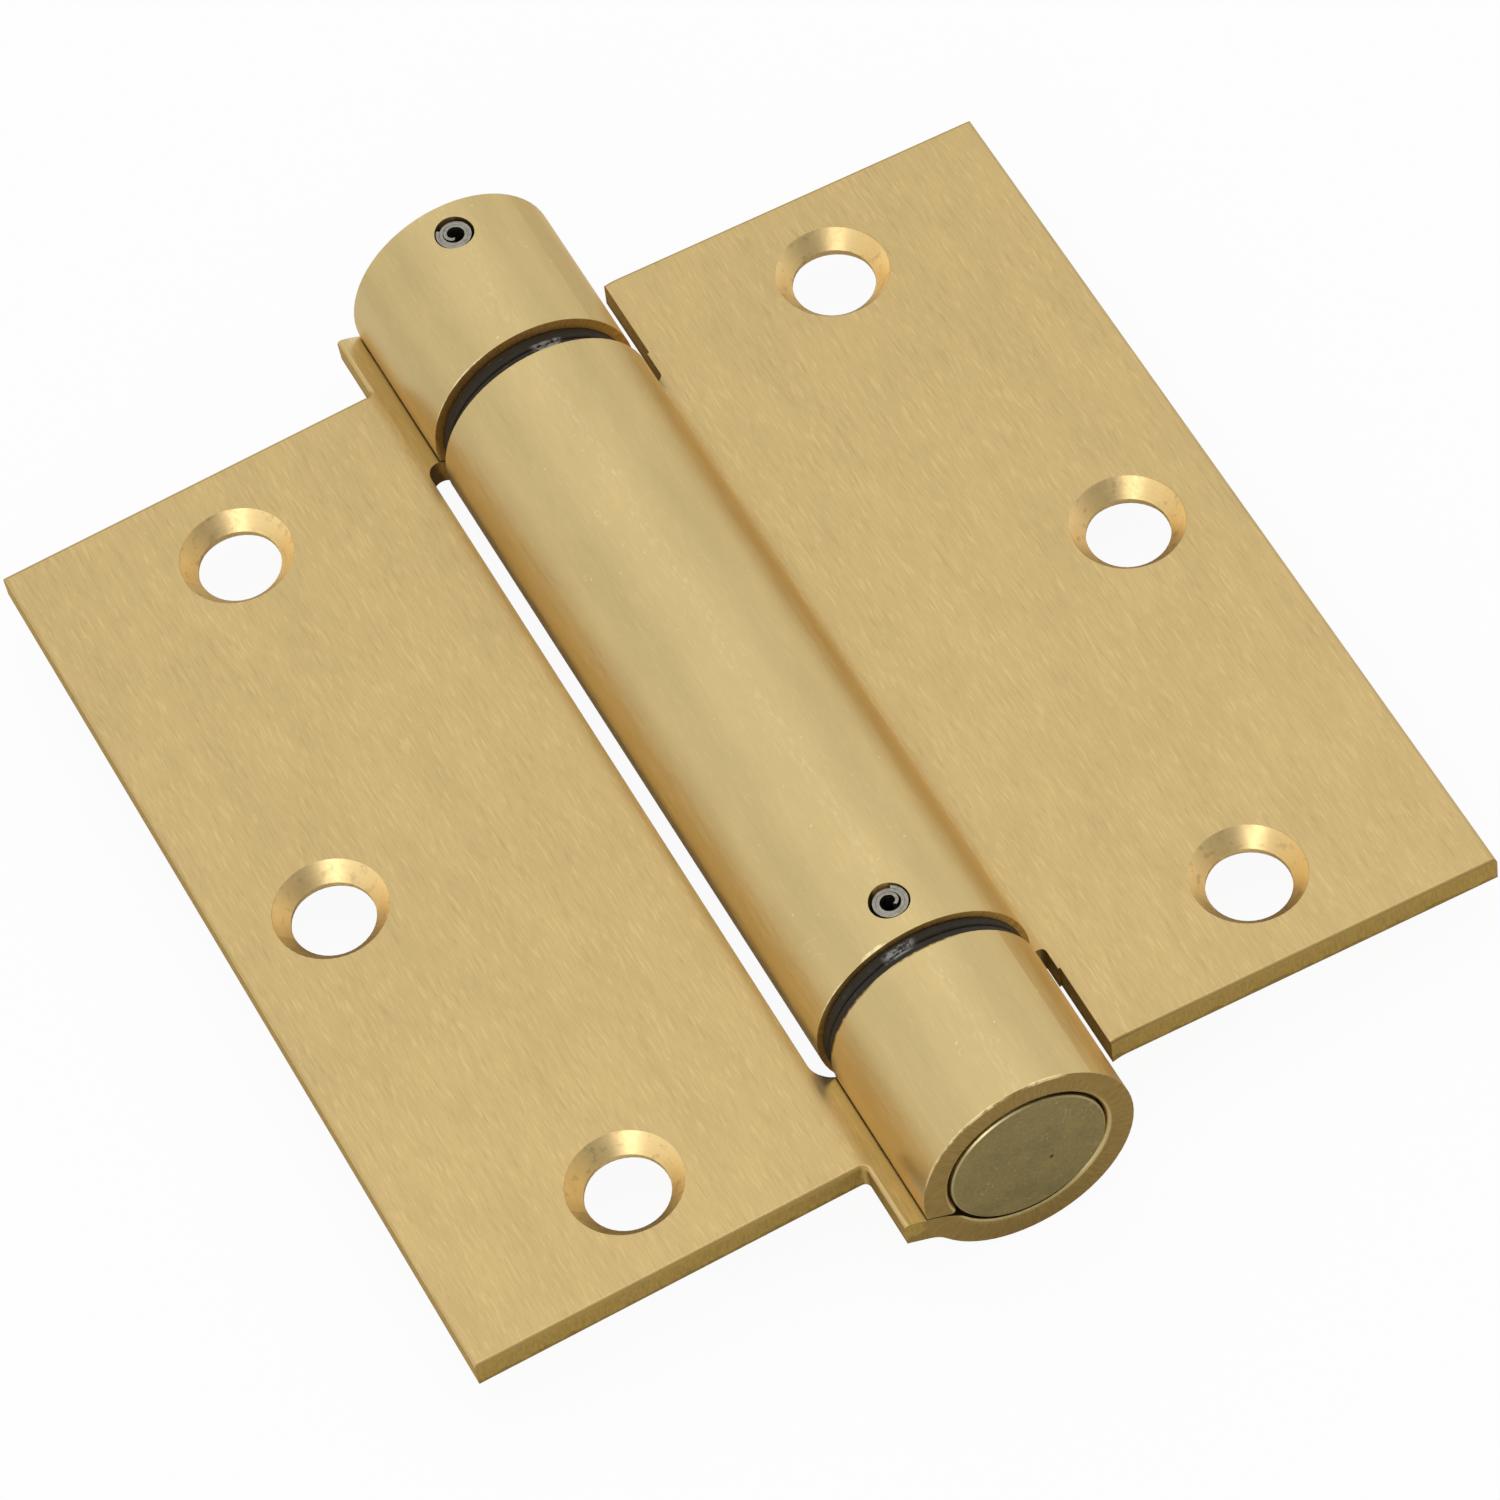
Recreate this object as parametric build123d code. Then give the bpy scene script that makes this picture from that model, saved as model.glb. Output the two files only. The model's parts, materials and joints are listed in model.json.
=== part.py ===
from build123d import *
import os
from math import asin, atan2, cos, degrees, pi, radians, sin, tan

# Spring hinge, lying open, countersunk faces up.
# X runs across the leaves, Y along the barrel, Z up; the origin is on the barrel axis at mid-length.

# Sheet and barrel
sheet = 2.35                  # thickness of both leaves and of every knuckle wall
barrel_radius = 9.45          # outside of the knuckles
oval = 0.25                   # the left leaf's knuckles are narrower than high by this much on each side
barrel_length = 102.0
end_knuckle = 15.5            # length of each short knuckle on the left leaf
near_gap = 2.0                # between the near knuckle and the centre knuckle
far_gap = 2.5                 # between the far knuckle and the centre knuckle

# Leaves
leaf_height = 88.9            # along the barrel
leaf_reach = 45.35            # from the barrel axis to the outer edge
face_drop = 0.6               # the top face lies this far under the barrel axis
overtravel = 1.9              # each leaf droops this many degrees past flat when fully open
edge_roll = 0.35              # rounding left on the upper edges by the blanking press
bore_round = 0.7              # on the bore edges at the two barrel ends

# Joggle that takes the sheet down into the curl
joggle_start = 12.0           # from the barrel axis
joggle_angle = 25.0
joggle_radius = 4.0           # of the middle of the sheet
root_fillet = 3.0             # concave corner under the root of the curl
seam_gap = 0.14               # between the end of the curl and the leaf it butts on
seam_round = 0.3              # on the inner edge of the curl's end

# Plan of the leaves, as distances from the barrel axis
slot_reach = 10.65            # inner edge of the left leaf beside the centre knuckle
slot_fillet = 1.7
tab_reach = 11.15             # outer edge of the tabs that carry the end knuckles
tab_fillet = 0.5
notch_reach = 10.55           # inner edge of the right leaf beside the end knuckles
notch_fillet = 0.6
shear_step = 0.18             # small step left by the press where the notch was cut in two hits
shear_step_y = 36.0

# Screw holes
outer_hole_x = 27.8           # the upper and lower holes, nearer the barrel
middle_hole_x = 36.35
hole_spacing = 71.4           # between the upper and lower holes, along the barrel
hole_radius = 3.5
sink_radius = 4.8
sink_angle = 82.0
hole_land = 0.4               # straight part of the hole under the countersink
breakout = 0.25               # how much wider the punched hole opens at the back face

# Plugs that carry the spring
plug_running_gap = 0.1        # around the plug where the oval knuckle is narrowest
plug_chamfer = 0.12
plug_grip = 8.0               # length of each plug inside the centre knuckle
hub_radius = 3.4
hub_length = 4.6
hub_chamfer = 0.4
hub_slot_clearance = 0.15

# Coiled spring pins
pin_radius = 1.58
pin_hole_clearance = 0.1
pin_strip = 0.27
pin_turns = 2.3
pin_pitch = 0.3               # radial growth of the coil in one turn
pin_tail = 0.4                # of the last turn, where the strip straightens
pin_tail_drop = 0.3           # how far the straight tail leaves the coil, towards the middle
far_pin_inset = 3.1           # from the end of the knuckle to the pin's centre
near_pin_inset = 3.33
pin_below_surface = 0.25
pin_length = 8.9
near_pin_lean = 1.8           # degrees
near_pin_start = 60.0         # where the strip's outer end lies, in degrees around the pin
far_pin_start = 138.0

# Nylon washers, two in each gap
washer_play = 0.04
washer_bore_clearance = 0.25
near_washer_inset = 0.5       # the washers stand this far inside the knuckles
far_washer_inset = 0.95
washer_round = 0.22

# Torsion spring
wire_radius = 1.0
coil_side_play = 0.55         # between the coil and the bore
coil_least_gap = 0.12         # between neighbouring turns
coil_end_play = 0.25          # between the coil and each plug
tang_elbow = 1.6              # bend radius where the wire turns in to the axis
tang_reach = 3.2              # how far each tang runs past the axis

# Values worked out from the ones above
half_barrel = barrel_length / 2
half_leaf = leaf_height / 2
bore_radius = barrel_radius - sheet
plug_radius = bore_radius - oval - plug_running_gap
coil_radius = bore_radius - coil_side_play - wire_radius
end_face_y = half_barrel - end_knuckle          # inner ends of both short knuckles
centre_near_y = -end_face_y + near_gap
centre_far_y = end_face_y - far_gap
near_pin_y = centre_near_y + near_pin_inset
far_pin_y = half_barrel - far_pin_inset
plug_inner_near = centre_near_y + plug_grip
plug_inner_far = centre_far_y - plug_grip
tang_lean = asin(tang_elbow / (coil_radius - tang_elbow))
sheet_middle = -face_drop - sheet / 2
curl_radius = barrel_radius - sheet / 2
far_past = 3 * barrel_radius                    # reach of cutting bodies, clear of everything
tool_over = 1.0                                 # how far a hole's cutting body stands out of the sheet
small = 1e-4                                    # tolerance for picking edges and corners
spiral_steps = 10                               # curve points in one turn of a coiled pin


def joggle_points():
    """Middle-line points and arc centres of the bent sheet, as (distance from axis, height)."""
    slope = radians(joggle_angle)
    first_centre = (joggle_start, sheet_middle - joggle_radius)
    down = (sin(slope), -cos(slope))
    slope_start = (first_centre[0] - joggle_radius * down[0], first_centre[1] - joggle_radius * down[1])
    root_radius = root_fillet + sheet / 2
    along = (-cos(slope), -sin(slope))
    base = (slope_start[0] + root_radius * down[0], slope_start[1] + root_radius * down[1])
    reach = curl_radius + root_radius
    half_b = base[0] * along[0] + base[1] * along[1]
    run = -half_b - (half_b**2 - base[0]**2 - base[1]**2 + reach**2) ** 0.5
    second_centre = (base[0] + run * along[0], base[1] + run * along[1])
    root_angle = degrees(atan2(-second_centre[1], second_centre[0]))
    return first_centre, second_centre, root_radius, root_angle


def oval_outline(squeeze, inset):
    """Four tangent arcs round a knuckle that is narrower than high by the squeeze on each side."""
    shift = squeeze * sin(pi / 4) / (2 * sin(pi / 4) - 1)
    side_radius = barrel_radius - squeeze + shift - inset
    top_radius = barrel_radius - shift - inset
    arcs = [
        CenterArc((-shift, 0), side_radius, -45, 90),
        CenterArc((0, shift), top_radius, 45, 90),
        CenterArc((shift, 0), side_radius, 135, 90),
        CenterArc((0, -shift), top_radius, 225, 90),
    ]
    return make_face(arcs)


def ring(squeeze):
    """Section of a knuckle, with a wall of even thickness."""
    if squeeze == 0:
        return Circle(barrel_radius) - Circle(bore_radius)
    return oval_outline(squeeze, 0) - oval_outline(squeeze, sheet)


def curl_section(squeeze):
    """Closed face of one curled leaf, in the XZ plane, leaf towards +X."""
    first_centre, second_centre, root_radius, root_angle = joggle_points()
    top = -face_drop
    back = -face_drop - sheet
    up_angle = 90 + joggle_angle
    sweep_down = (180 - root_angle) - up_angle

    upper_bend = CenterArc(first_centre, joggle_radius + sheet / 2, 90, joggle_angle)
    upper_root = CenterArc(second_centre, root_radius + sheet / 2, up_angle, sweep_down)
    lower_bend = CenterArc(first_centre, joggle_radius - sheet / 2, 90, joggle_angle)
    lower_root = CenterArc(second_centre, root_radius - sheet / 2, up_angle, sweep_down)
    outline = [
        Line((leaf_reach, back), (leaf_reach, top)),
        Line((leaf_reach, top), upper_bend @ 0),
        upper_bend,
        Line(upper_bend @ 1, upper_root @ 0),
        upper_root,
        Line(upper_root @ 1, lower_root @ 1),
        lower_root,
        Line(lower_root @ 0, lower_bend @ 1),
        lower_bend,
        Line(lower_bend @ 0, (leaf_reach, back)),
    ]
    strip = make_face(outline)

    # The curl is round below its root and may be oval from there to its free end.
    slope = tan(radians(joggle_angle))
    butt = upper_root @ 0
    lift = seam_gap / cos(radians(joggle_angle))
    at_axis = butt.Y + lift - butt.X * slope
    root_slope = tan(radians(root_angle))
    meet_x = -at_axis / (slope + root_slope)
    meet = (meet_x, -meet_x * root_slope)
    free_end = (far_past, at_axis + far_past * slope)
    root_end = (far_past, -far_past * root_slope)
    wedge = make_face(Polyline(meet, free_end, root_end, meet))
    under_root = make_face(Polyline((0, 0), root_end, (far_past, -far_past), (0, -far_past), (0, 0)))
    free_part = ring(squeeze) - under_root - wedge
    on_end = [v for v in free_part.vertices() if abs(v.Y - at_axis - v.X * slope) < small and v.X > 0]
    inner_corner = min(on_end, key=lambda v: v.X)
    free_part = fillet(inner_corner, seam_round)
    return free_part + (ring(0) & under_root) + strip


def along_barrel(face, start, end):
    """Extrude an XZ-plane face from one Y to another."""
    return Pos(0, start, 0) * extrude(Plane.XZ * face, -(end - start))


def plan_cutter(outline):
    """Vertical body that cuts an XY-plane outline through the sheet and the barrel."""
    return Pos(0, 0, -far_past) * extrude(outline, 2 * far_past)


def standing_cylinder(radius, height):
    return Cylinder(radius, height, align=(Align.CENTER, Align.CENTER, Align.MIN))


def box_outline(x0, x1, y0, y1):
    return Pos((x0 + x1) / 2, (y0 + y1) / 2) * Rectangle(x1 - x0, y1 - y0)


def rounded_at(outline, corners, radius):
    """Round the corners of a plan outline that lie at the given points."""
    targets = [Vector(x, y, 0) for x, y in corners]
    picked = [v for v in outline.vertices() if min((v.center() - t).length for t in targets) < small]
    return fillet(picked, radius)


def screw_hole(x, y):
    """Countersunk hole with a short land and a punched break-out at the back face."""
    sink_depth = (sink_radius - hole_radius) / tan(radians(sink_angle / 2))
    top = -face_drop
    land_end = top - sink_depth - hole_land
    back = top - sheet
    flare = breakout * (tool_over + land_end - back) / (land_end - back)
    wall = Polyline(
        (0, top + tool_over),
        (sink_radius + tool_over * tan(radians(sink_angle / 2)), top + tool_over),
        (hole_radius, top - sink_depth),
        (hole_radius, land_end),
        (hole_radius + flare, back - tool_over),
        (0, back - tool_over),
        (0, top + tool_over),
    )
    return Pos(x, y, 0) * revolve(Plane.XZ * make_face(wall), Axis.Z)


def screw_holes():
    half = hole_spacing / 2
    places = [(outer_hole_x, half), (middle_hole_x, 0), (outer_hole_x, -half)]
    return [screw_hole(x, y) for x, y in places]


def bore_mouth(side):
    """Body that rolls over the bore edge at one barrel end, tangent to the bore where it is narrowest."""
    narrow = bore_radius - oval
    flare = CenterArc((narrow + bore_round, half_barrel - bore_round), bore_round, 90, 90)
    outline = [
        Line((0, half_barrel), flare @ 0),
        flare,
        Line(flare @ 1, (0, half_barrel - bore_round)),
        Line((0, half_barrel - bore_round), (0, half_barrel)),
    ]
    mouth = revolve(make_face(outline), Axis.Y)
    return mouth if side > 0 else mirror(mouth, Plane.XZ)


def soften_upper_edges(leaf):
    """Round the upper long edges of the blank: the outer edge and the two short edges."""
    top = -face_drop
    picked = []
    for edge in leaf.edges().filter_by(GeomType.LINE):
        middle = edge @ 0.5
        on_top = abs(middle.Z - top) < small
        outer = abs(middle.X - leaf_reach) < small
        short = abs(abs(middle.Y) - half_leaf) < small and middle.X > joggle_start
        if on_top and (outer or short):
            picked.append(edge)
    return fillet(picked, edge_roll)


def pin_hole(y, lean):
    """Blind round hole for a coiled pin, from above the barrel down into the plug."""
    drill = standing_cylinder(pin_radius + pin_hole_clearance, pin_length + barrel_radius)
    bottom = barrel_radius - pin_below_surface - pin_length
    return Rot(0, -lean, 0) * Pos(0, y, bottom) * drill


def left_leaf():
    """Leaf with the two short end knuckles, built towards +X and mirrored at the end."""
    blank = along_barrel(curl_section(oval), -half_barrel, half_barrel)
    slot = box_outline(-far_past, slot_reach, -end_face_y, end_face_y)
    slot = rounded_at(slot, [(slot_reach, -end_face_y), (slot_reach, end_face_y)], slot_fillet)
    cutters = [plan_cutter(slot)]
    for side in (-1, 1):
        low, high = sorted((side * half_leaf, side * (half_barrel + far_past)))
        outside = box_outline(tab_reach, leaf_reach + far_past, low, high)
        outside = rounded_at(outside, [(tab_reach, side * half_leaf)], tab_fillet)
        cutters.append(plan_cutter(outside))
    leaf = blank - cutters
    leaf = soften_upper_edges(leaf)
    for side in (-1, 1):
        leaf = leaf - bore_mouth(side)
    leaf = leaf - screw_holes()
    leaf = mirror(leaf, Plane.YZ)
    leaf = Rot(0, -overtravel, 0) * leaf
    return leaf - pin_hole(far_pin_y, 0)


def right_leaf():
    """Leaf with the long centre knuckle."""
    blank = along_barrel(curl_section(0), -half_leaf, half_leaf)
    cutters = []
    for side, knuckle_end in ((-1, centre_near_y), (1, centre_far_y)):
        low, high = sorted((knuckle_end, side * (half_leaf + far_past)))
        notch = box_outline(-far_past, notch_reach, low, high)
        notch = rounded_at(notch, [(notch_reach, knuckle_end)], notch_fillet)
        step_low, step_high = sorted((side * shear_step_y, side * (half_leaf + far_past)))
        step = box_outline(0, notch_reach + shear_step, step_low, step_high)
        cutters += [plan_cutter(notch), plan_cutter(step)]
    leaf = blank - cutters
    leaf = soften_upper_edges(leaf)
    leaf = leaf - screw_holes()
    leaf = Rot(0, overtravel, 0) * leaf
    return leaf - pin_hole(near_pin_y, near_pin_lean)


def plug(outer_y, inner_y, pin_y, pin_lean):
    """Turned plug from a barrel end to the spring, with a slotted hub for the spring's tang."""
    way = 1 if inner_y > outer_y else -1
    body_length = abs(inner_y - outer_y)
    body = standing_cylinder(plug_radius, body_length)
    body = chamfer(body.edges().group_by(Axis.Z)[0], plug_chamfer)
    hub = Pos(0, 0, body_length) * standing_cylinder(hub_radius, hub_length)
    hub = chamfer(hub.edges().group_by(Axis.Z)[-1], hub_chamfer)
    slot_width = 2 * (wire_radius + hub_slot_clearance)
    slot = Pos(0, 0, body_length + hub_length / 2) * Box(2 * plug_radius, slot_width, hub_length)
    solid = body + (hub - Rot(0, 0, -degrees(tang_lean)) * slot)
    turned = Pos(0, outer_y, 0) * Rot(-90 * way, 0, 0) * solid
    return turned - pin_hole(pin_y, pin_lean)


def coiled_pin(y, lean, start, way):
    """Strip rolled into a spiral, standing in its hole. Its coil runs inwards from the start angle."""
    outer = pin_radius
    count = int(pin_turns * spiral_steps) + 1

    def spiral(start_radius):
        points = []
        for index in range(count):
            turn = index / spiral_steps
            into_tail = max(0, turn - pin_turns + pin_tail) / pin_tail
            radius = start_radius - pin_pitch * turn - pin_tail_drop * into_tail**2
            angle = radians(start) + way * 2 * pi * turn
            points.append((radius * cos(angle), radius * sin(angle)))
        return points

    outside = Spline(*spiral(outer))
    inside = Spline(*spiral(outer - pin_strip))
    strip = make_face([outside, Line(outside @ 1, inside @ 1), inside, Line(inside @ 0, outside @ 0)])
    bottom = barrel_radius - pin_below_surface - pin_length
    return Rot(0, -lean, 0) * Pos(0, y, bottom) * extrude(strip, pin_length)


def washer(low_y, thickness, radius):
    ring = Circle(radius) - Circle(plug_radius + washer_bore_clearance)
    solid = along_barrel(ring, low_y, low_y + thickness)
    rim = solid.edges().filter_by(GeomType.CIRCLE).group_by(SortBy.RADIUS)[-1]
    return fillet(rim, washer_round)


def washer_pair(low_y, gap, radius):
    """Two washers that fill a knuckle gap, with a little play on each face."""
    thickness = (gap - 3 * washer_play) / 2
    first = low_y + washer_play
    second = first + thickness + washer_play
    return washer(first, thickness, radius), washer(second, thickness, radius)


def tang(point, along):
    """Elbow and straight leg that turn the wire in from the coil and across the axis."""
    inward = Vector(-point.X, -point.Y, 0).normalized()
    centre = point + inward * tang_elbow

    def on_elbow(angle):
        return centre - inward * (tang_elbow * cos(angle)) + along * (tang_elbow * sin(angle))

    turn = pi / 2 + tang_lean
    elbow = ThreePointArc(point, on_elbow(turn / 2), on_elbow(turn))
    leg_way = inward * cos(tang_lean) - along * sin(tang_lean)
    leg_length = (coil_radius - tang_elbow) * cos(tang_lean) + tang_reach
    return elbow, Line(on_elbow(turn), on_elbow(turn) + leg_way * leg_length)


def torsion_spring():
    """Close coil between the two plugs, each end bent across the axis into a hub slot."""
    room = plug_inner_far - plug_inner_near - 2 * (wire_radius + coil_end_play)
    turns = int(room / (2 * wire_radius + coil_least_gap))
    helix = Helix(room / turns, room, coil_radius)
    first_elbow, first_leg = tang(helix @ 0, (helix % 0) * -1)
    last_elbow, last_leg = tang(helix @ 1, helix % 1)
    wire = Wire([first_leg, first_elbow, helix, last_elbow, last_leg])
    section = Plane(origin=wire @ 0, z_dir=wire % 0) * Circle(wire_radius)
    spring = sweep(section, path=wire)
    return Pos(0, plug_inner_near + wire_radius + coil_end_play, 0) * Rot(-90, 0, 0) * spring


nodes = {
    "left_leaf": left_leaf(),
    "right_leaf": right_leaf(),
    "upper_plug": plug(half_barrel, plug_inner_far, far_pin_y, 0),
    "lower_plug": plug(-half_barrel, plug_inner_near, near_pin_y, near_pin_lean),
    "upper_pin": coiled_pin(far_pin_y, 0, far_pin_start, 1),
    "lower_pin": coiled_pin(near_pin_y, near_pin_lean, near_pin_start, -1),
}
lower_pair = washer_pair(-end_face_y, near_gap, barrel_radius - near_washer_inset)
upper_pair = washer_pair(centre_far_y, far_gap, barrel_radius - far_washer_inset)
nodes["lower_washer_outer"], nodes["lower_washer_inner"] = lower_pair
nodes["upper_washer_inner"], nodes["upper_washer_outer"] = upper_pair
nodes["torsion_spring"] = torsion_spring()

os.makedirs("parts", exist_ok=True)
for name, shape in nodes.items():
    export_step(shape, f"parts/{name}.step")
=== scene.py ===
"""Looks of the spring hinge: brass leaves, turned plugs, coiled pins, nylon washers and the wire spring."""

import json
from math import radians, sin

import bpy
from mathutils import Euler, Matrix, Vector


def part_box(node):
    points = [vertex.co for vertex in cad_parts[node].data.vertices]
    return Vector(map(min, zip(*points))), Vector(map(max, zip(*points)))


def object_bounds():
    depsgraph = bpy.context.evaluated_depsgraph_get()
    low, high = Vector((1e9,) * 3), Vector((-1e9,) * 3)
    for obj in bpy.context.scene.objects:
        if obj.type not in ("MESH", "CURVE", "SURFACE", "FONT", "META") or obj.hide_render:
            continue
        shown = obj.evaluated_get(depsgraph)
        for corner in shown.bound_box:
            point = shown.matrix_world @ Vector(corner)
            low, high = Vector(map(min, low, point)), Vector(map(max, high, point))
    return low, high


MM = 0.001

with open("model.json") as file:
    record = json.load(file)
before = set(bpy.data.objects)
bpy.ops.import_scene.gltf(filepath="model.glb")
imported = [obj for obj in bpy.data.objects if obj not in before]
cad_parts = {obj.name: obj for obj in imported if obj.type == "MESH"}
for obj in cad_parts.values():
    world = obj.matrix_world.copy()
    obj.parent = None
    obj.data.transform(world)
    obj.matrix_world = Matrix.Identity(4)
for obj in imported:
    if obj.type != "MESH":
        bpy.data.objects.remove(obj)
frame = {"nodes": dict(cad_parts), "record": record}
cad_low, cad_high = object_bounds()

# Sizes read from the frame, in millimetres
barrel_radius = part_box("left_leaf")[1].z / MM
plug_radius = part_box("lower_plug")[1].x / MM
screw_mounts = [m for m in frame["record"]["mounts"] if m["name"].startswith("right_screw")]
hole_centres = {m["name"].split("_")[-1]: (m["pos_m"][0] / MM, m["pos_m"][1] / MM) for m in screw_mounts}
hole_radius = screw_mounts[0]["dims"]["r_mm"]

# Sizes that the frame doesn't name, in millimetres
SINK_RADIUS = 4.8  # countersinks, at the leaf's face
BACK_FACE = -2.95  # height of the leaves' backs, before the leaves droop
ROOT_REACH = 10.3  # from the barrel's axis to where the flat leaves start
GAP_SIDE = 45.0  # knuckle ends nearer the middle than this face a gap
SCUFF_HEIGHT = 9.0  # above this, a line along the barrel is scuffed
# Painted shade: the leaves are painted lighter at the near end and darker at the far end
PAINTED_SHADE_REACH = 45.0  # the leaves' shade falls from this far on one side to as far on the other

# How far each leaf hangs below level
LEAF_DROOP = radians(1.9)

# Most of a noise's values lie between these
NOISE_LOW = 0.3
NOISE_HIGH = 0.7

# Colours as linear values
LEAF_BRASS = (0.565, 0.415, 0.184)
# Paler than the leaves' brass: painted light standing in for the brighter light along the barrel's top
BARREL_BRASS_PAINTED_PALE = (0.605, 0.466, 0.216)
ROOT_BRASS = (0.720, 0.580, 0.310)
# The next two browns are darker than the leaves' brass partly because cut faces are duller, partly as
# painted shade on the upright faces
SHEARED_BRASS_AND_SHADE = (0.440, 0.298, 0.086)
KNUCKLE_END_BRASS_AND_SHADE = (0.365, 0.252, 0.086)
# Painted light: knuckle ends that face a gap get a much brighter, warmer copy of the knuckle-end brass
GAP_FACE_PAINTED_LIGHT = (0.900, 0.600, 0.190)
# Pale brass of burrs, specks and scratches, also used for the painted rim highlights
BURR_AND_HIGHLIGHT_BRASS = (0.980, 0.820, 0.440)
SCUFFED_BRASS = (0.900, 0.830, 0.580)
SINK_BRASS = (0.985, 0.745, 0.355)
BRASS_GLANCE = (1.0, 0.84, 0.62, 1.0)
# Dark brown of the painted shadow lines along the gap's rim
PAINTED_SHADOW_BROWN = (0.150, 0.080, 0.028)
PLUG_BRASS = (0.268, 0.208, 0.073)
PIT_BROWN = (0.050, 0.036, 0.020)
PIN_STEEL = (0.300, 0.283, 0.240)
WORN_STEEL = (0.850, 0.830, 0.780)
SPRING_STEEL = (0.100, 0.100, 0.105)
NYLON_BLACK = (0.021, 0.016, 0.009)
NYLON_SCUFF = (0.240, 0.235, 0.225)
FLOOR_GREY = (0.80, 0.80, 0.80, 1.0)
WHITE = (1.0, 1.0, 1.0, 1.0)

# Stretches of the knuckle rims with painted highlights, on the side towards the light: angle round the
# barrel in degrees, then in millimetres the rim's place along the barrel, half the stretch's length and its
# width
PAINTED_RIM_HIGHLIGHTS = (
    (112.0, -33.5, 1.6, 0.32),
    (146.0, -33.5, 3.2, 0.14),
    (124.0, 35.5, 3.0, 0.13),
    (150.0, 35.5, 2.0, 0.10),
    (76.0, -51.0, 2.4, 0.12),
    (118.0, -51.0, 4.5, 0.11),
    (152.0, -51.0, 2.6, 0.13),
)

# Stretches of the knuckle rims with a painted dark shadow line, given in the same way
PAINTED_RIM_SHADOWS = (
    (92.0, -35.5, 4.6, 0.12),
    (140.0, -35.5, 5.0, 0.14),
    (163.0, -35.5, 2.4, 0.16),
)

# Where the washers are rubbed pale: angle round the barrel in degrees, then in millimetres where
# along the barrel the rub starts and ends
NYLON_RUBS = ((79.0, 33.6, 34.5), (101.0, -34.8, -33.9))


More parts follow.
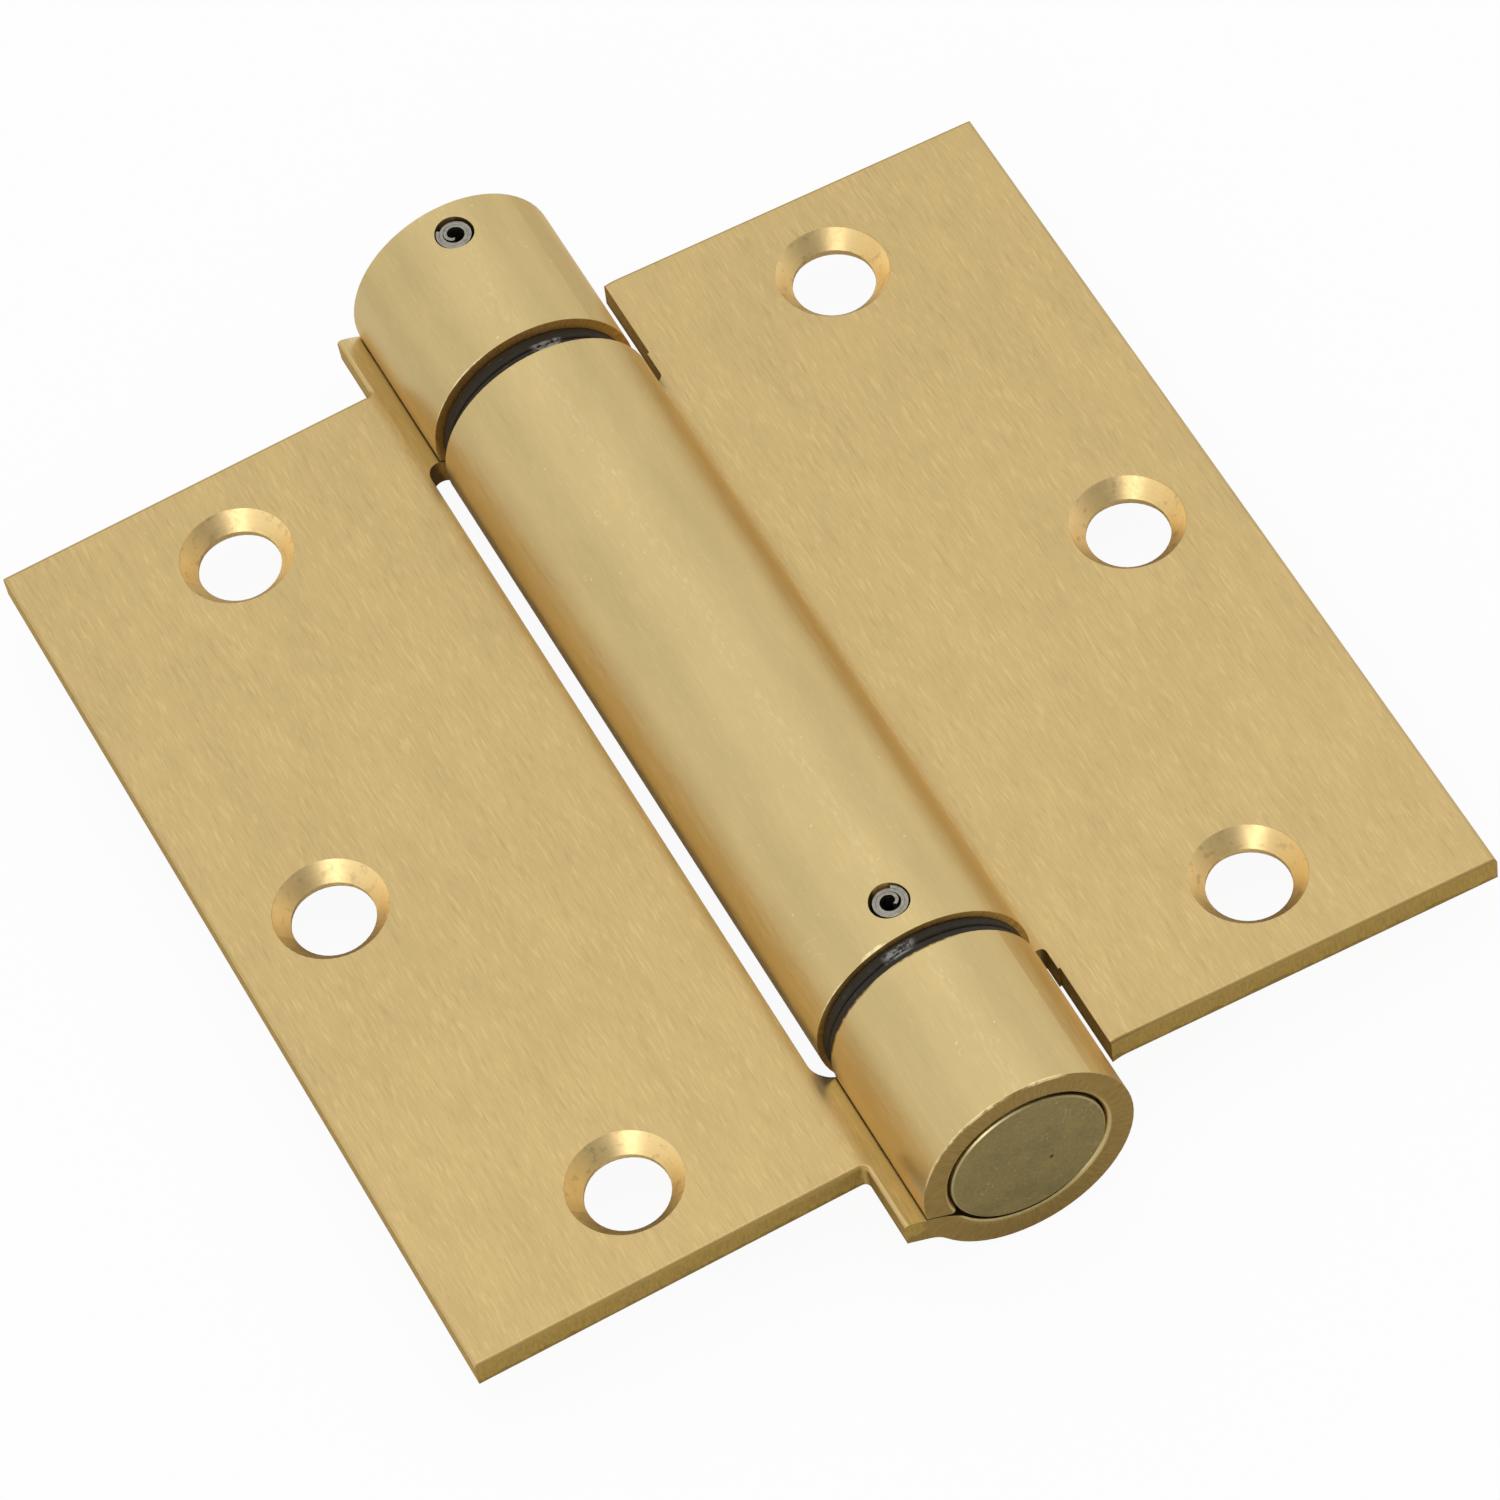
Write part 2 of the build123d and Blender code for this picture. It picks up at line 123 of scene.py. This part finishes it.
class Graph:
    """Builds one material with short calls for the nodes it needs."""

    def __init__(self, name, shader=True):
        self.material = bpy.data.materials.new(name)
        self.material.use_nodes = True
        self.tree = self.material.node_tree
        if shader:
            self.shader = self.tree.nodes["Principled BSDF"]
            self.place = self.millimetres()
        else:
            self.tree.nodes.clear()

    @classmethod
    def on_tree(cls, tree):
        """Graph for nodes that aren't a material's."""
        graph = cls.__new__(cls)
        graph.tree = tree
        return graph

    def add(self, kind, **settings):
        node = self.tree.nodes.new(kind)
        for key, value in settings.items():
            setattr(node, key, value)
        return node

    def feed(self, socket, value):
        if isinstance(value, bpy.types.NodeSocket):
            self.tree.links.new(value, socket)
        else:
            socket.default_value = value

    def millimetres(self):
        """Position on the piece at rest, in millimetres of the shared frame."""
        source = self.add("ShaderNodeTexCoord")
        self.own_normal = source.outputs["Normal"]
        return self.tint(source.outputs["Object"], 1 / MM)

    def math(self, operation, first, second=0.0):
        node = self.add("ShaderNodeMath", operation=operation)
        self.feed(node.inputs[0], first)
        self.feed(node.inputs[1], second)
        return node.outputs[0]

    def plus(self, first, second):
        return self.math("ADD", first, second)

    def minus(self, first, second):
        return self.math("SUBTRACT", first, second)

    def times(self, first, second):
        return self.math("MULTIPLY", first, second)

    def larger(self, first, second):
        return self.math("MAXIMUM", first, second)

    def size_of(self, value):
        return self.math("ABSOLUTE", value)

    def vector_math(self, operation, first, second):
        node = self.add("ShaderNodeVectorMath", operation=operation)
        self.feed(node.inputs[0], first)
        self.feed(node.inputs[1], second)
        return node.outputs

    def dot(self, first, second):
        return self.vector_math("DOT_PRODUCT", first, second)["Value"]

    def distance(self, first, second):
        return self.vector_math("DISTANCE", first, second)["Value"]

    def stretch(self, vector, factors):
        return self.vector_math("MULTIPLY", vector, factors)[0]

    def split(self, vector):
        node = self.add("ShaderNodeSeparateXYZ")
        self.feed(node.inputs[0], vector)
        return node.outputs

    def join(self, x, y, z):
        node = self.add("ShaderNodeCombineXYZ")
        for socket, value in zip(node.inputs, (x, y, z)):
            self.feed(socket, value)
        return node.outputs[0]

    def axis_distance(self, x, z):
        """Distance from the barrel's axis."""
        return self.math("SQRT", self.plus(self.times(x, x), self.times(z, z)))

    def around_barrel(self, x, z):
        """Way round the barrel's surface from the right, in millimetres."""
        return self.times(self.math("ARCTAN2", z, x), barrel_radius)

    def noise(self, vector, scale=1.0, detail=2.0, rough=0.5):
        node = self.add("ShaderNodeTexNoise")
        self.feed(node.inputs["Vector"], vector)
        node.inputs["Scale"].default_value = scale
        node.inputs["Detail"].default_value = detail
        node.inputs["Roughness"].default_value = rough
        return node.outputs["Fac"]

    def between(self, value, low, high, out_low=0.0, out_high=1.0):
        """Smooth step of a value from one range to another."""
        node = self.add("ShaderNodeMapRange", interpolation_type="SMOOTHSTEP")
        self.feed(node.inputs["Value"], value)
        node.inputs["From Min"].default_value = low
        node.inputs["From Max"].default_value = high
        node.inputs["To Min"].default_value = out_low
        node.inputs["To Max"].default_value = out_high
        return node.outputs["Result"]

    def below(self, value, low, high):
        """Mask that covers what is under low and fades out at high."""
        return self.between(value, low, high, 1.0, 0.0)

    def vary(self, noise, least, most):
        """A noise spread from least to most."""
        return self.between(noise, NOISE_LOW, NOISE_HIGH, least, most)

    def choose(self, mask, off, on):
        """One amount off a mask and another on it."""
        return self.between(mask, 0.0, 1.0, off, on)

    def outside(self, mask):
        return self.minus(1.0, mask)

    def blend(self, factor, first, second):
        """Mix of two colours."""
        node = self.add("ShaderNodeMix", data_type="RGBA")
        self.feed(node.inputs["Factor"], factor)
        for socket, value in ((node.inputs[6], first), (node.inputs[7], second)):
            self.feed(socket, (*value, 1.0) if isinstance(value, tuple) else value)
        return node.outputs[2]

    def tint(self, colour, amount):
        """Multiply a colour or a vector by one amount."""
        node = self.add("ShaderNodeVectorMath", operation="SCALE")
        self.feed(node.inputs[0], colour)
        self.feed(node.inputs["Scale"], amount)
        return node.outputs[0]

    def bump(self, height, distance_mm, strength, under=None):
        node = self.add("ShaderNodeBump")
        self.feed(node.inputs["Height"], height)
        node.inputs["Strength"].default_value = strength
        node.inputs["Distance"].default_value = distance_mm * MM
        if under is not None:
            self.feed(node.inputs["Normal"], under)
        return node.outputs[0]

    def edge_wear(self, radius_mm):
        """Rounded normal near sharp edges, and how strongly a point lies on such an edge."""
        rounded = self.add("ShaderNodeBevel", samples=2)
        rounded.inputs["Radius"].default_value = radius_mm * MM
        geometry = self.add("ShaderNodeNewGeometry")
        turn = self.dot(rounded.outputs[0], geometry.outputs["Normal"])
        return rounded.outputs[0], self.between(turn, 0.995, 0.93)

    def across_grain(self):
        """Direction across the brushing, with a nudge that gives the knuckle ends one too."""
        geometry = self.add("ShaderNodeNewGeometry")
        across = self.vector_math("CROSS_PRODUCT", geometry.outputs["Normal"], (0.0, 1.0, 0.0))[0]
        return self.vector_math("ADD", across, (0.001, 0.0, 0.0007))[0]

    def ray_kinds(self):
        """Whether the camera sees a point directly, and whether it sees it reflected."""
        paths = self.add("ShaderNodeLightPath").outputs
        seen = self.larger(paths["Is Camera Ray"], paths["Is Transmission Ray"])
        return seen, paths["Is Glossy Ray"]

    def finish(self, colour, rough, metallic=1.0, normal=None):
        self.feed(self.shader.inputs["Base Color"], colour)
        self.feed(self.shader.inputs["Roughness"], rough)
        self.shader.inputs["Metallic"].default_value = metallic
        if normal is not None:
            self.feed(self.shader.inputs["Normal"], normal)
        return self.material


class LeafSurface(Graph):
    """Satin brass of the leaves, with the masks and noises that its colour, roughness and relief share."""

    def __init__(self):
        super().__init__("satin_brass")
        self.x, self.y, self.z = self.split(self.place)
        self.off_x = self.size_of(self.x)
        self.off_y = self.size_of(self.y)
        self.nx, self.ny, self.nz = (self.size_of(part) for part in self.split(self.own_normal))
        self.from_axis = self.axis_distance(self.x, self.z)
        self.around = self.around_barrel(self.x, self.z)
        self.from_hole = self.hole_distance()

        self.on_barrel = self.below(self.from_axis, barrel_radius + 0.05, barrel_radius + 0.6)
        self.off_barrel = self.outside(self.on_barrel)
        faces_up = self.below(self.nz, 0.80, 0.95)
        self.in_sink = self.times(self.below(self.from_hole, SINK_RADIUS, SINK_RADIUS + 0.04), faces_up)
        self.off_sink = self.outside(self.in_sink)

        self.fine = self.noise(self.stretch(self.place, (8.0, 0.7, 8.0)), detail=2.0, rough=0.6)
        self.stroke = self.noise(self.stretch(self.place, (2.6, 0.18, 2.6)), detail=3.0, rough=0.6)
        self.rings = self.noise(self.join(self.times(self.from_hole, 9.0), 0.0, 0.0), detail=2.0, rough=0.6)
        self.tear = self.tear_lines()

    def hole_distance(self):
        """Distance from the nearest screw hole's axis; both leaves mirror each other in X and Y."""
        flat = self.join(self.off_x, self.off_y, 0.0)
        outer = self.distance(flat, (*hole_centres["upper"], 0.0))
        middle = self.distance(flat, (*hole_centres["middle"], 0.0))
        return self.math("MINIMUM", outer, middle)

    def tear_lines(self):
        """Shear lines: up the straight edges, and along the radius on the knuckle ends."""
        straight = self.noise(self.stretch(self.place, (5.0, 5.0, 1.2)), detail=4.0, rough=0.7)
        polar = self.join(self.times(self.around, 4.0), self.times(self.from_axis, 0.7), 0.0)
        radial = self.noise(polar, detail=4.0, rough=0.7)
        return self.plus(self.times(radial, self.on_barrel), self.times(straight, self.off_barrel))

    def brushing(self):
        """Shade of the brushing: fine grain, broader streaks, slow patches, and pale and dark dashes, with
        a painted shade that darkens the leaves towards the far end.
        """
        pale = self.between(self.noise(self.stretch(self.place, (4.4, 0.50, 4.4)), detail=1.0), 0.56, 0.70)
        dark = self.between(self.noise(self.stretch(self.place, (5.4, 0.42, 5.6)), detail=1.0), 0.58, 0.72)
        patch = self.noise(self.stretch(self.place, (0.30, 0.10, 0.30)), detail=2.0)
        grain = self.plus(self.vary(self.fine, -0.036, 0.036), self.vary(self.stroke, -0.034, 0.034))
        grain = self.plus(grain, self.times(pale, 0.100))
        grain = self.plus(grain, self.times(dark, -0.075))
        grain = self.times(grain, self.choose(self.off_barrel, 0.40, 1.0))
        tone = self.plus(grain, self.vary(patch, 0.970, 1.026))
        # Painted shade along the barrel, lighter at the near end
        return self.plus(tone, self.between(self.y, -PAINTED_SHADE_REACH, PAINTED_SHADE_REACH, 0.022, -0.030))

    def brushed_colour(self):
        """Brushed brass, painted paler on the barrel for the brighter light along its top, and brighter at
        the knuckles' roots, where the rolling tool pressed.
        """
        colour = self.blend(self.on_barrel, LEAF_BRASS, BARREL_BRASS_PAINTED_PALE)
        root = self.times(self.between(self.off_x, 7.2, 9.0), self.below(self.off_x, 9.6, 11.0))
        colour = self.blend(self.times(root, 0.85), colour, ROOT_BRASS)
        return self.tint(colour, self.brushing())

    def add_handling_marks(self, colour):
        """Hairline scratches and small specks, most of them on the barrel."""
        wander = self.noise(self.stretch(self.place, (0.22, 0.16, 0.22)), detail=1.0)
        hairline = self.below(self.size_of(self.minus(wander, 0.52)), 0.0, 0.0022)
        kept = self.between(self.noise(self.place, scale=0.35, detail=1.0), 0.52, 0.62)
        hairline = self.times(hairline, kept)
        speck = self.between(self.noise(self.place, scale=1.7, detail=2.0), 0.735, 0.765)
        marks = self.plus(speck, self.times(hairline, 0.5))
        marks = self.times(marks, self.choose(self.on_barrel, 0.25, 0.8))
        return self.blend(self.times(marks, 0.45), colour, BURR_AND_HIGHLIGHT_BRASS)

    def add_scuffed_line(self, colour):
        """A pale scuffed line along the top of the barrel, where it rubs on what it lies on."""
        swerve = self.noise(self.join(0.0, self.times(self.y, 0.12), 0.0), detail=2.0)
        off_line = self.size_of(self.plus(self.x, self.vary(swerve, -0.35, 0.35)))
        on_line = self.times(self.below(off_line, 0.15, 0.80), self.on_barrel)
        scraped = self.noise(self.stretch(self.place, (3.6, 0.9, 3.6)), detail=4.0, rough=0.7)
        scraped = self.times(self.between(scraped, 0.48, 0.66, 0.0, 0.17), on_line)
        on_top = self.between(self.z, SCUFF_HEIGHT, SCUFF_HEIGHT + 0.3)
        return self.blend(self.times(scraped, on_top), colour, SCUFFED_BRASS)

    def add_countersinks(self, colour):
        """Countersinks turned after brushing, with painted shade where their walls face away to the near
        left.
        """
        smudge = self.noise(self.place, scale=1.1, detail=4.0, rough=0.6)
        dirt = self.between(smudge, 0.54, 0.68, 0.0, -0.20)
        tone = self.plus(self.vary(self.rings, 0.96, 1.04), dirt)
        # Painted shade: walls facing away to the near left are darkened to 62 per cent
        facing = self.dot(self.own_normal, (0.50, 0.75, 0.0))
        painted_near_wall_shade = self.between(facing, 0.15, 0.68, 1.0, 0.62)
        sink_colour = self.tint(SINK_BRASS, self.times(tone, painted_near_wall_shade))
        return self.blend(self.in_sink, colour, sink_colour)

    def sheared_mask(self):
        """Knuckle ends, the ends of the leaves, their outer edges and the punched holes."""
        faces_along = self.between(self.ny, 0.85, 0.97)
        past_root = self.between(self.from_axis, ROOT_REACH - 0.1, ROOT_REACH + 0.1)
        faces_out = self.times(self.between(self.nx, 0.80, 0.95), past_root)
        in_hole = self.below(self.from_hole, hole_radius + 0.03, hole_radius + 0.06)
        sheared = self.larger(self.larger(faces_along, faces_out), in_hole)
        return self.times(sheared, self.off_sink)

    def sheared_colour(self):
        """Shear lines, with the lowest quarter of the straight edges torn instead of cut."""
        # Painted light on the knuckle ends that face a gap
        painted_light_in_gap = self.times(self.on_barrel, self.below(self.off_y, GAP_SIDE - 1.0, GAP_SIDE + 1.0))
        # Cut-face colours: duller brass that also carries painted shade
        colour = self.blend(self.on_barrel, SHEARED_BRASS_AND_SHADE, KNUCKLE_END_BRASS_AND_SHADE)
        colour = self.blend(painted_light_in_gap, colour, GAP_FACE_PAINTED_LIGHT)
        colour = self.tint(colour, self.vary(self.tear, 0.86, 1.13))
        ragged = self.noise(self.place, scale=1.0, detail=4.0)
        torn_top = self.vary(ragged, BACK_FACE + 0.17, BACK_FACE + 0.53)
        level = self.plus(self.z, self.times(self.off_x, sin(LEAF_DROOP)))
        torn = self.times(self.math("LESS_THAN", level, torn_top), self.off_barrel)
        return self.tint(colour, self.choose(torn, 1.0, 0.72))

    def rolled_mask(self):
        """The rounded edge above the shear, rougher than the face and painted darker there as shade."""
        rolled = self.times(self.between(self.ny, 0.05, 0.30), self.below(self.ny, 0.85, 0.97))
        return self.times(self.times(rolled, self.off_barrel), self.off_sink)

    def rim_mask(self, stretches):
        """Short ragged stretches of the knuckle rims."""
        mask = None
        for angle, rim_y, half_length, width in stretches:
            off_middle = self.size_of(self.minus(self.around, radians(angle) * barrel_radius))
            off_rim = self.size_of(self.minus(self.y, rim_y))
            along = self.below(off_middle, half_length * 0.4, half_length)
            across = self.below(self.minus(off_rim, self.times(along, width)), -0.05, 0.05)
            stretch = self.times(self.times(along, across), 0.9)
            mask = stretch if mask is None else self.larger(mask, stretch)
        ragged = self.noise(self.place, scale=1.6, detail=3.0, rough=0.7)
        mask = self.times(mask, self.between(ragged, 0.38, 0.50, 0.25, 1.0))
        return self.times(mask, self.between(self.from_axis, barrel_radius - 0.4, barrel_radius - 0.2))

    def add_rim_wear_and_painted_light(self, colour, on_edge):
        """Bright broken burrs, painted highlights on some stretches of rim and painted shadow lines along
        others.
        """
        broken = self.noise(self.place, scale=1.1, detail=4.0, rough=0.75)
        burr = self.times(on_edge, self.between(broken, 0.42, 0.60, 0.1, 1.0))
        burr = self.times(burr, self.choose(self.on_barrel, 0.06, 0.70))
        # Burrs are wear; the listed rim stretches are painted highlights
        bright = self.larger(burr, self.rim_mask(PAINTED_RIM_HIGHLIGHTS))
        colour = self.blend(bright, colour, BURR_AND_HIGHLIGHT_BRASS)
        return self.blend(self.rim_mask(PAINTED_RIM_SHADOWS), colour, PAINTED_SHADOW_BROWN)

    def roughness(self, sheared, rolled):
        rough = self.plus(self.vary(self.stroke, 0.30, 0.36), self.vary(self.fine, -0.02, 0.03))
        rough = self.plus(rough, self.times(self.in_sink, 0.05))
        rough = self.plus(rough, self.times(sheared, self.choose(self.on_barrel, 0.12, 0.26)))
        return self.plus(rough, self.times(rolled, 0.25))

    def relief(self, rounded, sheared):
        """Grain outside the countersinks, turning rings in them and tear lines on the sheared edges."""
        grain = self.plus(self.fine, self.times(self.stroke, 0.6))
        normal = self.bump(self.times(grain, self.off_sink), 0.004, 0.5, rounded)
        normal = self.bump(self.times(self.rings, self.in_sink), 0.001, 0.5, normal)
        return self.bump(self.times(self.tear, sheared), 0.02, 0.6, normal)


def leaf_material():
    """Satin brass brushed along the barrel, with sheared edges and turned countersinks."""
    leaf = LeafSurface()
    colour = leaf.brushed_colour()
    colour = leaf.add_handling_marks(colour)
    colour = leaf.add_scuffed_line(colour)
    colour = leaf.add_countersinks(colour)
    sheared = leaf.sheared_mask()
    colour = leaf.blend(sheared, colour, leaf.sheared_colour())
    rolled = leaf.rolled_mask()
    # Painted shade: the rounded edge is darkened towards the cut-face colour
    colour = leaf.blend(leaf.times(rolled, 0.6), colour, SHEARED_BRASS_AND_SHADE)
    rounded, on_edge = leaf.edge_wear(0.07)
    colour = leaf.add_rim_wear_and_painted_light(colour, on_edge)
    leaf.shader.inputs["Anisotropic"].default_value = 0.55
    leaf.shader.inputs["Specular Tint"].default_value = BRASS_GLANCE
    leaf.feed(leaf.shader.inputs["Tangent"], leaf.across_grain())
    return leaf.finish(colour, leaf.roughness(sheared, rolled), normal=leaf.relief(rounded, sheared))


def plug_material():
    """Dull turned brass with fine facing rings, specks, a few scratches, a small pit, and a pale rim with a
    painted highlight on its lit side.
    """
    g = Graph("plug_brass")
    x, _, z = g.split(g.place)
    radius = g.axis_distance(x, z)
    rings = g.noise(g.join(g.times(radius, 5.0), 0.0, 0.0), detail=3.0, rough=0.7)
    stain = g.noise(g.place, scale=0.5, detail=4.0, rough=0.6)
    speck = g.noise(g.place, scale=3.2, detail=3.0, rough=0.65)
    tone = g.plus(g.vary(rings, 0.97, 1.03), g.vary(stain, -0.11, 0.11))
    tone = g.plus(tone, g.vary(speck, -0.09, 0.09))
    colour = g.tint(PLUG_BRASS, tone)

    pale_speck = g.between(g.noise(g.place, scale=4.0, detail=2.0), 0.68, 0.74, 0.0, 0.6)
    wander = g.noise(g.place, scale=0.45, detail=1.5)
    scratch = g.between(g.size_of(g.minus(wander, 0.5)), 0.0, 0.005, 0.22, 0.0)
    scratch = g.times(scratch, g.between(g.noise(g.place, scale=0.3), 0.48, 0.60))
    colour = g.blend(g.larger(pale_speck, scratch), colour, BURR_AND_HIGHLIGHT_BRASS)
    in_pit = g.below(g.distance(g.join(x, 0.0, z), (1.85, 0.0, -1.36)), 0.10, 0.26)
    colour = g.blend(in_pit, colour, PIT_BROWN)

    rounded, on_edge = g.edge_wear(0.10)
    # Pale rim of edge wear and a painted highlight, strongest on the lit side at 110 degrees and fading to
    # a quarter away from it
    off_lit_side = g.size_of(g.minus(g.math("ARCTAN2", z, x), radians(110.0)))
    rim = g.larger(on_edge, g.between(radius, plug_radius - 0.16, plug_radius - 0.10))
    rim = g.times(rim, g.between(off_lit_side, 0.15, 0.60, 0.95, 0.25))
    colour = g.blend(rim, colour, BURR_AND_HIGHLIGHT_BRASS)
    rough = g.vary(stain, 0.36, 0.46)
    normal = g.bump(g.plus(rings, speck), 0.004, 0.5, rounded)
    normal = g.bump(in_pit, 0.08, -0.8, normal)
    return g.finish(colour, rough, normal=normal)


def pin_material():
    """Bare spring steel strip with bright worn rims."""
    g = Graph("pin_steel")
    cloud = g.noise(g.place, scale=3.0, detail=3.0)
    colour = g.tint(PIN_STEEL, g.vary(cloud, 0.75, 1.1))
    rounded, on_edge = g.edge_wear(0.07)
    colour = g.blend(g.times(on_edge, 0.75), colour, WORN_STEEL)
    rough = g.vary(cloud, 0.30, 0.45)
    return g.finish(colour, rough, normal=g.bump(cloud, 0.01, 0.4, rounded))


def spring_material():
    """Oil-tempered wire with drawing marks."""
    g = Graph("spring_steel")
    cloud = g.noise(g.place, scale=1.2, detail=4.0)
    colour = g.tint(SPRING_STEEL, g.vary(cloud, 0.8, 1.2))
    rough = g.vary(cloud, 0.30, 0.42)
    return g.finish(colour, rough, normal=g.bump(cloud, 0.01, 0.3))


def nylon_material():
    """Black-brown nylon with pale scuffs where the rims have rubbed."""
    g = Graph("black_nylon")
    x, y, z = g.split(g.place)
    around = g.around_barrel(x, z)
    rub = g.noise(g.join(g.times(around, 0.9), g.times(y, 3.2), 0.0), detail=4.0, rough=0.7)
    worn = g.between(rub, 0.60, 0.70, 0.0, 0.8)
    scuffed = None
    for angle, start, end in NYLON_RUBS:
        off_middle = g.size_of(g.minus(around, radians(angle) * barrel_radius))
        inside = g.times(g.between(y, start - 0.1, start + 0.1), g.below(y, end - 0.1, end + 0.1))
        patch = g.times(g.below(off_middle, 0.9, 1.8), inside)
        scuffed = patch if scuffed is None else g.larger(scuffed, patch)
    torn = g.noise(g.stretch(g.place, (2.2, 2.2, 2.2)), detail=4.0, rough=0.7)
    scuffed = g.times(scuffed, g.between(torn, 0.40, 0.56))
    colour = g.blend(g.larger(g.times(worn, 0.25), scuffed), NYLON_BLACK, NYLON_SCUFF)
    cloud = g.noise(g.place, scale=1.5, detail=4.0)
    rough = g.vary(cloud, 0.50, 0.62)
    g.shader.inputs["Specular IOR Level"].default_value = 0.25
    rounded, _ = g.edge_wear(0.12)
    return g.finish(colour, rough, metallic=0.0, normal=g.bump(cloud, 0.03, 0.5, rounded))


def dress_nodes():
    """Give every node the material that the record's slot names."""
    makers = {
        "satin_brass": leaf_material,
        "plug_brass": plug_material,
        "pin_steel": pin_material,
        "spring_steel": spring_material,
        "black_nylon": nylon_material,
    }
    made = {slot: make() for slot, make in makers.items()}
    for part in frame["record"]["subparts"]:
        piece = frame["nodes"][part["node"]]
        piece.data.materials.clear()
        piece.data.materials.append(made[part["material_slot"]])
        for polygon in piece.data.polygons:
            polygon.material_index = 0


def floor_material():
    """Pale floor, white to the camera and bright in metal, that still takes the object's shadow."""
    g = Graph("pale_floor", shader=False)
    seen, reflected = g.ray_kinds()
    matt = g.add("ShaderNodeBsdfDiffuse")
    matt.inputs["Color"].default_value = FLOOR_GREY
    glow = g.add("ShaderNodeEmission")
    mix = g.add("ShaderNodeMixShader")
    g.feed(mix.inputs["Fac"], g.larger(g.times(seen, 0.94), g.times(reflected, 0.06)))
    g.feed(mix.inputs[1], matt.outputs[0])
    g.feed(mix.inputs[2], glow.outputs[0])
    g.feed(g.add("ShaderNodeOutputMaterial").inputs["Surface"], mix.outputs[0])
    return g.material


def make_floor():
    """A wide square just under the object."""
    half = 3.0
    clearance = 0.00002
    z = cad_low.z - clearance
    mesh = bpy.data.meshes.new("floor")
    corners = [(-half, -half, z), (half, -half, z), (half, half, z), (-half, half, z)]
    mesh.from_pydata(corners, [], [(0, 1, 2, 3)])
    mesh.materials.append(floor_material())
    floor = bpy.data.objects.new("floor", mesh)
    bpy.context.scene.collection.objects.link(floor)


def make_world():
    """White to the camera, a plain soft fill for matt surfaces and an uneven studio for metal."""
    world = bpy.data.worlds.new("studio")
    bpy.context.scene.world = world
    world.use_nodes = True
    g = Graph.on_tree(world.node_tree)
    seen, reflected = g.ray_kinds()
    direction = g.add("ShaderNodeTexCoord").outputs["Generated"]

    # The studio dims to the front right and above the front, and is brightest low down
    front_right = g.dot(direction, Vector((0.42, -0.90, 0.10)).normalized())
    above_front = g.dot(direction, Vector((0.10, -0.76, 0.64)).normalized())
    height = g.split(direction)[2]
    studio = g.between(front_right, 0.35, 0.95, 0.90, 0.42)
    studio = g.times(studio, g.between(above_front, 0.72, 0.94, 1.0, 0.54))
    studio = g.times(studio, g.between(height, 0.12, 0.34, 1.25, 1.0))

    matt = g.times(g.outside(reflected), 0.8)
    level = g.larger(seen, g.plus(g.times(reflected, studio), matt))
    background = g.tree.nodes["Background"]
    g.feed(background.inputs["Color"], WHITE)
    g.feed(background.inputs["Strength"], level)


def softbox(name, place, width, height, watts):
    """A rectangular light that faces the object."""
    middle = Vector((0.0, 0.0, 0.0))
    light = bpy.data.lights.new(name, "AREA")
    light.shape = "RECTANGLE"
    light.size = width
    light.size_y = height
    light.energy = watts
    lamp = bpy.data.objects.new(name, light)
    lamp.location = place
    lamp.rotation_euler = (middle - lamp.location).to_track_quat("-Z", "Y").to_euler()
    bpy.context.scene.collection.objects.link(lamp)


def make_lights():
    softbox("back_light", (0.05, 0.75, 1.0), width=1.4, height=1.0, watts=0.9)
    softbox("top_light", (0.0, 0.0, 1.1), width=0.6, height=0.6, watts=1.5)
    softbox("front_light", (-0.50, -0.62, 0.41), width=0.45, height=0.25, watts=0.85)


def make_camera():
    """The photograph's viewpoint, found by fitting corners, holes and barrel outlines."""
    data = bpy.data.cameras.new("camera")
    data.lens = 218.68
    data.sensor_width = 36.0
    data.clip_start = 0.05
    data.clip_end = 20.0
    camera = bpy.data.objects.new("camera", data)
    camera.location = (-0.13532, -0.41177, 0.59064)
    camera.rotation_euler = Euler((radians(35.444), radians(6.403), radians(-27.203)), "XYZ")
    bpy.context.scene.collection.objects.link(camera)
    bpy.context.scene.camera = camera


dress_nodes()
make_floor()
make_world()
make_lights()
make_camera()
bpy.context.scene.view_settings.view_transform = "Standard"
